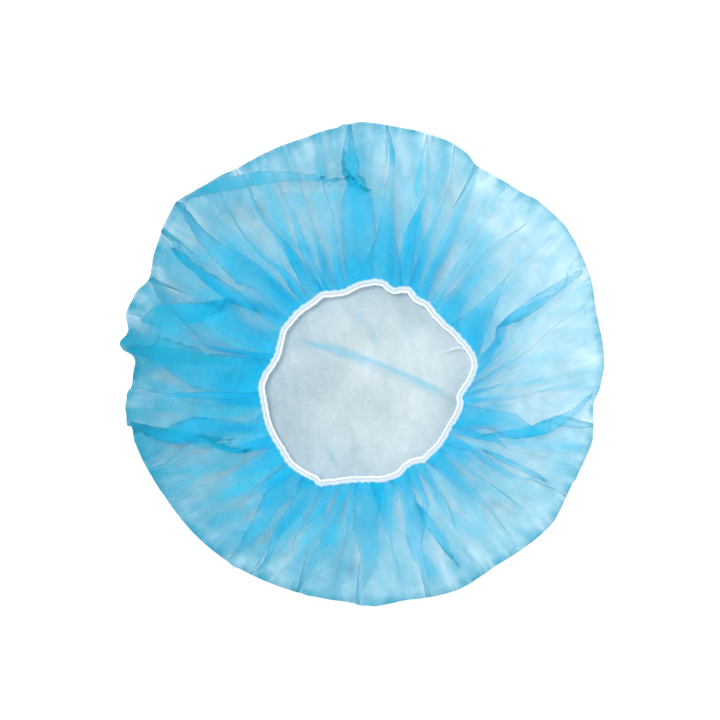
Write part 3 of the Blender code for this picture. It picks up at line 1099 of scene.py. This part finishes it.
def steepness(piece):
    """How steeply each point of the cloth stands, from 0 where it lies flat to 1."""
    normals = np.empty(len(piece.data.vertices) * 3)
    piece.data.vertex_normals.foreach_get("vector", normals)
    return 1.0 - np.abs(normals.reshape(-1, 3)[:, 2])


fullness_and_shade = read_around(FULLNESS_AND_SHADE, bearing) * np.clip(reach / 0.6, 0.0, 1.0)
print("fullness from", round(fullness_and_shade.min(), 2), "to", round(fullness_and_shade.max(), 2))

# %% [markdown]
# ## How much the web covers
#
# web_cover is the cover at each point, against an even web. It grows where the cloth is
# steep, creased, bunched or close to the hem, and along the rim. It is lower along the
# turned edges of the tucks, which softens them. The weights were found by comparing the
# render with the photo, ring by ring.

# %% Cover mask
# The cover is higher in the crown's middle, which darkens the mouth as painted shade.
COVER_BY_REACH = ((0.25, 0.5, 0.6, 0.8), (1.17, 0.98, 0.90, 0.98))
CLOUDS_BY_REACH = ((0.25, 0.5), (0.20, 0.40))
MORE_COVER = {"steep": 0.90, "creased": 0.75, "open_crease": 0.30, "near_mouth": 0.95,
              "at_rim": 0.60}
LEAST_GATHERED = 0.45
COVER_LIMITS = (0.50, 4.0)


def give_mask(piece, name, values):
    """Store one number a point, for the material to read."""
    layer = piece.data.attributes.new(name=name, type="FLOAT", domain="POINT")
    layer.data.foreach_set("value", np.asarray(values, float))


softened = 1.0 - tuck_edge * (0.62 + 0.22 * np.sin(7.0 * np.radians(bearing) + 9.0 * reach))
cloudiness = np.interp(reach, *CLOUDS_BY_REACH) + 0.80 * np.minimum(fullness_and_shade, 0.0)
more = {"steep": steepness(crown_cloth), "creased": creased,
        "open_crease": creased * np.clip((0.40 - reach) / 0.05, 0.0, 1.0),
        "near_mouth": np.exp(-(out / 0.22) ** 1.3) * upper,
        "at_rim": np.exp(-((1.0 - rim_weight) / 0.022) ** 2)}
web_cover = np.interp(reach, *COVER_BY_REACH) + cloudiness * clouds + fullness_and_shade + bunched(gathered)
for cause, weight in MORE_COVER.items():
    web_cover = web_cover + weight * more[cause]
web_cover = np.clip(softened * np.maximum(gathers, LEAST_GATHERED) * web_cover, *COVER_LIMITS)
give_mask(crown_cloth, "web_cover", web_cover)
print("cover factor from", round(web_cover.min(), 2), "to", round(web_cover.max(), 2))

# %% [markdown]
# ## Painted shade on the crown's flat part
#
# This mask is 1 on the crown's flat part: painted shade, a dark grey blue, for the hollow
# under the mouth. It fades out past the rim and along creases, so the creases stay bluer.

# %% Painted shade mask
SHADE_BY_REACH = ((0.50, 0.59, 0.68, 0.78), (1.0, 0.38, 0.19, 0.0))
CREASE_SHADE_CUT = 0.65

shade_left = np.clip(1.0 - CREASE_SHADE_CUT * creased, 0.0, 1.0)
flat_painted_shade = np.interp(reach, *SHADE_BY_REACH) * shade_left
give_mask(crown_cloth, "flat_painted_shade", flat_painted_shade)
print("pressed flat:", round((flat_painted_shade > 0.5).mean() * 100), "% of the cloth")

# %% [markdown]
# ## Thickness of the cloth
#
# The nonwoven is a tenth of a millimetre thick. Solidify gives the sheet a real wall, a
# little thicker so that the mesh keeps its shape.

# %% Thickness
CLOTH_THICKNESS = 0.00018


def apply_modifier(piece, name):
    bpy.ops.object.select_all(action="DESELECT")
    piece.select_set(True)
    bpy.context.view_layer.objects.active = piece
    bpy.ops.object.modifier_apply(modifier=name)


wall = crown_cloth.modifiers.new("wall", "SOLIDIFY")
wall.thickness = CLOTH_THICKNESS
wall.offset = -1.0
apply_modifier(crown_cloth, "wall")
triangles = sum(len(face.vertices) - 2 for face in crown_cloth.data.polygons)
print("cloth:", triangles, "triangles")

# %% [markdown]
# ## Spun fibres
#
# Cloth and yarn all have fibres, which show as a fine noise at different scales. So the
# noise is a node group that each material places with its own scale and detail. It puts
# out how thick the fibres lie, which can be height, colour or cover.

# %% Spun fibres


def add_node(tree, kind, **values):
    node = tree.nodes.new(kind)
    for name, value in values.items():
        setattr(node, name, value)
    return node


def fibre_group():
    """How thick the fibres lie, from 0 to 1, which every cloth and yarn here shares."""
    group = bpy.data.node_groups.new("spun fibres", "ShaderNodeTree")
    sockets = {"Place": "NodeSocketVector", "Scale": "NodeSocketFloat", "Detail": "NodeSocketFloat"}
    for name, kind in sockets.items():
        group.interface.new_socket(name, in_out="INPUT", socket_type=kind)
    group.interface.new_socket("Fibres", in_out="OUTPUT", socket_type="NodeSocketFloat")
    enter = add_node(group, "NodeGroupInput")
    leave = add_node(group, "NodeGroupOutput")
    fibre = add_node(group, "ShaderNodeTexNoise", noise_dimensions="3D")
    group.links.new(enter.outputs["Place"], fibre.inputs["Vector"])
    group.links.new(enter.outputs["Scale"], fibre.inputs["Scale"])
    group.links.new(enter.outputs["Detail"], fibre.inputs["Detail"])
    group.links.new(fibre.outputs["Fac"], leave.inputs["Fibres"])
    return group


fibres_group = fibre_group()
print("node group:", fibres_group.name, "with", len(fibres_group.nodes), "nodes")

# %% Fibres in a material


def place_fibres(tree, place, scale, detail):
    """Place the group in a material. Returns how thick the fibres lie."""
    fibres = add_node(tree, "ShaderNodeGroup", node_tree=fibres_group)
    tree.links.new(place, fibres.inputs["Place"])
    fibres.inputs["Scale"].default_value = scale
    fibres.inputs["Detail"].default_value = detail
    return fibres.outputs["Fibres"]


def fibre_bump(tree, fibres, strength, height):
    """Give a material's Principled shader the fibres' relief, with its height in metres."""
    bump = add_node(tree, "ShaderNodeBump")
    bump.inputs["Strength"].default_value = strength
    bump.inputs["Distance"].default_value = height
    tree.links.new(fibres, bump.inputs["Height"])
    tree.links.new(bump.outputs["Normal"], tree.nodes["Principled BSDF"].inputs["Normal"])


def maths(tree, operation, first, second):
    """A Math node on a socket and a second socket or number. Returns its output."""
    node = add_node(tree, "ShaderNodeMath", operation=operation)
    tree.links.new(first, node.inputs[0])
    if isinstance(second, bpy.types.NodeSocket):
        tree.links.new(second, node.inputs[1])
    else:
        node.inputs[1].default_value = second
    return node.outputs[0]


sockets = [item.name for item in fibres_group.interface.items_tree if item.in_out == "INPUT"]
print("group inputs:", sockets)

# %% [markdown]
# ## Nonwoven material
#
# The web is a thin mat of blue fibres with gaps between them, so it is a mix: the fibres,
# which reflect light and let some through, and clear gaps. One layer hides about a third
# of what is behind it, and each layer more makes it bluer. The wall has two faces, so each
# face hides half of that. One colour at a fixed alpha would look like tinted plastic.

# %% Colour and cover of the web
CLOTH_BLUE = (0.018, 0.670, 0.920)
# The second colour is painted shade: the dark grey blue of the crown's flat part.
PAINTED_SHADE_BLUE = (0.020, 0.200, 0.270)
LAYER_COVER = 0.30
FACE_COVER = 1.0 - math.sqrt(1.0 - LAYER_COVER)
MIDDLE_OF_FIBRES = 0.5
EVEN_WEB = 2.2


def cloth_tone_and_shade(tree):
    """The fibres' colour: blue, mixed towards a dark grey blue as painted shade on the crown's flat
    part.
    """
    tone = add_node(tree, "ShaderNodeMix", data_type="RGBA")
    tone.inputs["A"].default_value = (*CLOTH_BLUE, 1.0)
    tone.inputs["B"].default_value = (*PAINTED_SHADE_BLUE, 1.0)
    shade_mask = add_node(tree, "ShaderNodeAttribute", attribute_name="flat_painted_shade")
    tree.links.new(shade_mask.outputs["Fac"], tone.inputs["Factor"])
    return tone.outputs["Result"]


def mottled_cover(tree, cover, fibres):
    """How much one face hides: the cover mask, mottled a little by the fibres."""
    mottle = maths(tree, "ADD", fibres, EVEN_WEB)
    mottle = maths(tree, "MULTIPLY", mottle, FACE_COVER / (EVEN_WEB + MIDDLE_OF_FIBRES))
    return maths(tree, "MULTIPLY", cover, mottle)


print("one face of the cloth hides", round(FACE_COVER, 3), "of what is behind it")

# %% Nonwoven material
FIBRE_CLOUD = 0.0020
CLOTH_BUMP = 0.25
CLOTH_BUMP_HEIGHT = 0.0002
LIGHT_THROUGH = 0.40


def cloth_material():
    """Blue fibres, some light through them, and clear gaps where there are none."""
    material = plain_material("nonwoven_web", CLOTH_BLUE, 0.7)
    tree = material.node_tree
    shader = tree.nodes["Principled BSDF"]
    shader.inputs["Specular IOR Level"].default_value = 0.3
    tone = cloth_tone_and_shade(tree)
    tree.links.new(tone, shader.inputs["Base Color"])
    uv = add_node(tree, "ShaderNodeUVMap", uv_map="blank")
    fibres = place_fibres(tree, uv.outputs["UV"], BLANK_DIAMETER / FIBRE_CLOUD, 0.0)
    fibre_bump(tree, fibres, CLOTH_BUMP, CLOTH_BUMP_HEIGHT)
    cover = add_node(tree, "ShaderNodeAttribute", attribute_name="web_cover").outputs["Fac"]
    tree.links.new(mottled_cover(tree, cover, fibres), shader.inputs["Alpha"])
    through = add_node(tree, "ShaderNodeBsdfTranslucent")
    tree.links.new(tone, through.inputs["Color"])
    clear = add_node(tree, "ShaderNodeBsdfTransparent")
    through_fibres = add_node(tree, "ShaderNodeMixShader")
    tree.links.new(maths(tree, "MULTIPLY", cover, FACE_COVER), through_fibres.inputs["Fac"])
    tree.links.new(clear.outputs["BSDF"], through_fibres.inputs[1])
    tree.links.new(through.outputs["BSDF"], through_fibres.inputs[2])
    both = add_node(tree, "ShaderNodeMixShader")
    both.inputs["Fac"].default_value = LIGHT_THROUGH
    tree.links.new(shader.outputs["BSDF"], both.inputs[1])
    tree.links.new(through_fibres.outputs["Shader"], both.inputs[2])
    tree.links.new(both.outputs["Shader"], tree.nodes["Material Output"].inputs["Surface"])
    return material


nonwoven_web = cloth_material()
print("nonwoven:", len(nonwoven_web.node_tree.nodes), "nodes")

# %% [markdown]
# ## Handing the cloth over
#
# The cloth rides on the only body and stands for the crown solid.

# %% Put the cloth on
crown_cloth.data.materials.append(nonwoven_web)
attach(crown_cloth, "root")
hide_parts("crown")
print("cloth:", len(crown_cloth.data.vertices), "points in the slot nonwoven_cloth")

# %% [markdown]
# ## The overlocked edge
#
# The hem is rolled under a dense overlock stitch. Everything on it follows the mouth's
# path, so this step finds points on the path and beside it, by their share of its length.

# %% Path of the mouth
HALF_CHORD = 0.0012


def mouth_frame(shares):
    """Points on the mouth's path at shares of its length, and the outward directions."""
    bearings = np.linspace(0.0, 360.0, 1441)
    x, y, z = ring_points(bearings)
    steps = np.hypot(np.diff(x), np.diff(y))
    length = np.append(0.0, np.cumsum(steps))
    wanted = (np.asarray(shares) % 1.0) * length[-1]
    points = np.stack([np.interp(wanted, length, values) for values in (x, y, z)], axis=-1)
    ahead = (wanted + HALF_CHORD) % length[-1]
    behind = (wanted - HALF_CHORD) % length[-1]
    chord = np.stack([np.interp(ahead, length, values) - np.interp(behind, length, values)
                      for values in (x, y)], axis=-1)
    outward = np.stack([chord[:, 1], -chord[:, 0]], axis=-1)
    outward /= np.linalg.norm(outward, axis=1)[:, None]
    return points, outward, length[-1]


def on_the_mouth(shares, inward, up):
    """Points beside the mouth's path, at distances inwards from it and above it."""
    points, outward, _ = mouth_frame(shares)
    inward = np.asarray(inward)
    x = points[:, 0] - outward[:, 0] * inward
    y = points[:, 1] - outward[:, 1] * inward
    return np.stack([x, y, points[:, 2] + up], axis=-1)


print("the mouth is", round(mouth_frame([0.0])[2] * 1000, 1), "mm round")

# %% [markdown]
# ## The gathered hem wanders
#
# The elastic draws the hem in, so it is bumpy all round. Hem, threads and elastic share
# these bumps, or they would cut through each other.

# %% Ruffles of the hem
RUFFLES = 92
RUFFLE_ASIDE = 0.00036
RUFFLE_LIFT = 0.00040


def ruffle(shares):
    """How far the gathered hem wanders inwards and up, in metres."""
    turn = 2.0 * np.pi * np.asarray(shares)
    wander = 1.3 * np.sin(7.0 * turn) + 0.9 * np.sin(17.0 * turn + 1.0)
    swell = 0.65 + 0.35 * np.sin(13.0 * turn + 2.0)
    return (RUFFLE_ASIDE * swell * np.sin(RUFFLES * turn + wander),
            RUFFLE_LIFT * swell * np.sin(RUFFLES * turn + wander + 1.1))


print("ruffles:", RUFFLES, "round the mouth")

# %% [markdown]
# ## The hem roll
#
# A torus gives the rings of a closed tube, and each ring then moves to its place on the
# mouth's path. A curve with a bevel would be quicker to draw, but its round section can't
# be made oval.

# %% Hem roll
HEM_IN = 0.00122
HEM_HALF_WIDTH = 0.00118
HEM_HALF_HEIGHT = 0.00135


def ring_tube(name, rings, sides, section):
    """A closed tube round the mouth. section gives inward and up for share and angle."""
    bpy.ops.object.select_all(action="DESELECT")
    bpy.ops.mesh.primitive_torus_add(major_segments=rings, minor_segments=sides, major_radius=1.0,
                                     minor_radius=0.25, generate_uvs=True)
    tube = bpy.context.object
    tube.name = tube.data.name = name
    start = points_of(tube)
    share = (np.arctan2(start[:, 1], start[:, 0]) / (2.0 * np.pi)) % 1.0
    angle = np.arctan2(start[:, 2], np.hypot(start[:, 0], start[:, 1]) - 1.0)
    inward, up = section(share, angle)
    put_points(tube, on_the_mouth(share, inward, up))
    tube.data.shade_smooth()
    return tube


def hem_section(share, angle):
    aside, lift = ruffle(share)
    return (HEM_IN + aside - HEM_HALF_WIDTH * np.cos(angle), lift + HEM_HALF_HEIGHT * np.sin(angle))


hem_roll = ring_tube("hem_roll", 1100, 12, hem_section)
print("hem roll:", len(hem_roll.data.polygons), "faces")

# %% [markdown]
# ## Overlock threads
#
# Two looper threads wind round the hem, one leaning each way, and a needle thread runs
# along its inner side. Each is drawn as a curve with a round bevel and then turned into a
# mesh. A looper thread is one long spiral. The stitches are 1.5 mm apart, and each one
# leans a little, as the two loopers pull the thread to and fro.

# %% A thread
STITCHES = 290
THREAD_RADIUS = 0.00020
POINTS_A_STITCH = 12


def thread_piece(name, points, radius, closed, sides=1):
    """A round thread through the points, as a mesh."""
    bpy.ops.object.select_all(action="DESELECT")
    bpy.ops.curve.primitive_nurbs_path_add(location=(0.0, 0.0, 0.0))
    thread = bpy.context.object
    thread.name = thread.data.name = name
    thread.data.splines.clear()
    spline = thread.data.splines.new("POLY")
    spline.points.add(len(points) - 1)
    spline.points.foreach_set("co", np.c_[points, np.ones(len(points))].ravel())
    spline.use_cyclic_u = closed
    thread.data.dimensions = "3D"
    thread.data.bevel_depth = radius
    thread.data.bevel_resolution = sides
    bpy.ops.object.convert(target="MESH")
    bpy.context.object.data.shade_smooth()
    return bpy.context.object


def join_threads(name, threads):
    """Join threads into one piece."""
    bpy.ops.object.select_all(action="DESELECT")
    for thread in threads:
        thread.select_set(True)
    bpy.context.view_layer.objects.active = threads[0]
    bpy.ops.object.join()
    joined = bpy.context.object
    joined.name = joined.data.name = name
    print(name, "has", len(joined.data.polygons), "faces")
    return joined


print("one stitch is", round(mouth_frame([0.0])[2] / STITCHES * 1000, 2), "mm")

# %% Looper and needle threads
LOOPER_LEAN = 0.30
NEEDLE_POINTS_A_STITCH = 6
NEEDLE_DIP = 0.00030


def looper_points(lean, phase):
    """One looper thread: a spiral round the hem that leans one way on the top."""
    count = STITCHES * POINTS_A_STITCH
    step = np.arange(count) / POINTS_A_STITCH
    angle = 2.0 * np.pi * step + phase
    share = (step + lean * np.sin(angle + phase)) / STITCHES
    aside, lift = ruffle(share)
    grow = THREAD_RADIUS * (0.75 + 0.25 * np.sin(2.0 * np.pi * step * 0.5 + phase))
    return on_the_mouth(share, HEM_IN + aside - (HEM_HALF_WIDTH + grow) * np.cos(angle),
                        lift + (HEM_HALF_HEIGHT + grow) * np.sin(angle))


def needle_points():
    """The needle thread: long stitches on the inner side, dipping into the hem."""
    count = STITCHES * NEEDLE_POINTS_A_STITCH
    step = np.arange(count) / NEEDLE_POINTS_A_STITCH
    share = step / STITCHES
    aside, lift = ruffle(share)
    dip = NEEDLE_DIP * np.cos(2.0 * np.pi * step) ** 8
    return on_the_mouth(share, HEM_IN + aside + HEM_HALF_WIDTH * 0.72,
                        lift + HEM_HALF_HEIGHT * 0.80 + THREAD_RADIUS - dip)


overlock_threads = join_threads("overlock_threads", [
    thread_piece("upper_looper", looper_points(LOOPER_LEAN, 0.0), THREAD_RADIUS, True),
    thread_piece("lower_looper", looper_points(-LOOPER_LEAN, np.pi), THREAD_RADIUS, True),
    thread_piece("needle_thread", needle_points(), THREAD_RADIUS * 0.9, True),
])

# %% [markdown]
# ## The covered elastic
#
# The elastic runs along the inside of the overlocked edge. It is a rubber core with a yarn
# wound round it, so its surface has slanting ridges. They are real geometry, because a
# bump in the material would not be part of the mesh.

# %% Covered elastic
ELASTIC_DIAMETER = 0.0019
BINDING_WIDTH = 0.0024
STITCH_ROOM = 0.00015
ELASTIC_IN = BINDING_WIDTH + STITCH_ROOM + ELASTIC_DIAMETER / 2.0
YARN_TURNS = 250
RIDGE_DEPTH = 0.00012


def elastic_section(share, angle):
    aside, lift = ruffle(share)
    ridge = 0.5 + 0.5 * np.cos(2.0 * angle + 2.0 * np.pi * YARN_TURNS * share)
    radius = ELASTIC_DIAMETER / 2.0 - RIDGE_DEPTH * (1.0 - ridge ** 0.5)
    return (ELASTIC_IN + 0.8 * aside - radius * np.cos(angle), 0.6 * lift + radius * np.sin(angle))


elastic_cord = ring_tube("elastic_cord", 2000, 10, elastic_section)
print("elastic:", len(elastic_cord.data.polygons), "faces")

# %% [markdown]
# ## The thread tail
#
# Where the overlock stitch ends, a short tail of its threads is left. In the photo it
# points to the left from the right end of the mouth. It is three thin threads that leave
# the inner side of the edge together and sag a little.

# %% Thread tail
TAIL_ROOT = (0.0668, 0.0096)
TAIL_TIP = (0.0538, 0.0082)
TAIL_HEIGHT = 0.0188
TAIL_SAG = 0.0030
TAIL_BOW = 0.0016
TAIL_SPREAD = 0.00035
TAIL_CURL = 0.0003
TAIL_THREADS = 3
TAIL_RADIUS = 0.00021


def tail_points(number):
    """One thread of the tail, from the elastic to its free end."""
    along = np.linspace(0.0, 1.0, 14)
    x = TAIL_ROOT[0] + (TAIL_TIP[0] - TAIL_ROOT[0]) * along * (1.0 - 0.07 * number)
    y = TAIL_ROOT[1] + (TAIL_TIP[1] - TAIL_ROOT[1]) * along
    y = y + TAIL_BOW * np.sin(np.pi * along ** 0.8)
    y = y + (number - 1.0) * TAIL_SPREAD * (0.4 + along)
    y = y + TAIL_CURL * np.sin(9.0 * along + 2.0 * number)
    z = TAIL_HEIGHT - TAIL_SAG * along ** 1.6 + TAIL_CURL * np.cos(7.0 * along + number)
    return np.stack([x, y, z], axis=-1)


thread_tail = join_threads("thread_tail", [
    thread_piece(f"tail_{number}", tail_points(number), TAIL_RADIUS, False, 2)
    for number in range(TAIL_THREADS)
])
print("tail:", round(math.dist(TAIL_ROOT, TAIL_TIP) * 1000, 1), "mm from root to tip")

# %% [markdown]
# ## Thread materials
#
# The threads are white, textured polyester. Under the soft light they are bright, with
# tiny shadows between their filaments, which a fine bump gives. The hem between them is
# the blue nonwoven folded double under white thread, so it is a very pale blue. The three
# yarns differ only in their colours, their scale and how rough they are.

# %% Yarn
YARN_SHEEN = 0.3
YARN_DETAIL = 2.0
YARN_BUMP = 0.5
YARN_BUMP_HEIGHT = 0.0001


def thread_material(name, low, high, scale, roughness):
    """White yarn: two near colours mixed by the fibres, and a fine bump."""
    material = plain_material(name, high, roughness)
    tree = material.node_tree
    shader = tree.nodes["Principled BSDF"]
    shader.inputs["Sheen Weight"].default_value = YARN_SHEEN
    place = add_node(tree, "ShaderNodeTexCoord").outputs["Object"]
    fibres = place_fibres(tree, place, scale, YARN_DETAIL)
    ramp = add_node(tree, "ShaderNodeValToRGB")
    ramp.color_ramp.elements[0].position = 0.35
    ramp.color_ramp.elements[0].color = (*low, 1.0)
    ramp.color_ramp.elements[1].position = 0.65
    ramp.color_ramp.elements[1].color = (*high, 1.0)
    tree.links.new(fibres, ramp.inputs["Fac"])
    tree.links.new(ramp.outputs["Color"], shader.inputs["Base Color"])
    fibre_bump(tree, fibres, YARN_BUMP, YARN_BUMP_HEIGHT)
    return material


thread_white = thread_material("overlock_yarn", (0.58, 0.70, 0.82), (0.80, 0.86, 0.92), 2600.0, 0.6)
hem_white = thread_material("hem_cloth", (0.36, 0.58, 0.76), (0.66, 0.78, 0.88), 900.0, 0.75)
elastic_white = thread_material("elastic_yarn", (0.70, 0.77, 0.84), (0.86, 0.89, 0.92), 1800.0,
                                0.55)
print("yarns:", [yarn.name for yarn in (thread_white, hem_white, elastic_white)])

# %% Put the yarn on
for piece, material, slot in (
        (hem_roll, hem_white, "overlock_thread"),
        (overlock_threads, thread_white, "overlock_thread"),
        (elastic_cord, elastic_white, "covered_elastic"),
        (thread_tail, thread_white, "overlock_thread")):
    piece.data.materials.clear()
    piece.data.materials.append(material)
    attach(piece, "root")
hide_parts("overlock_binding")
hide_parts("elastic_ring")
print("pieces:", [piece.name for piece in (hem_roll, overlock_threads, elastic_cord, thread_tail)])
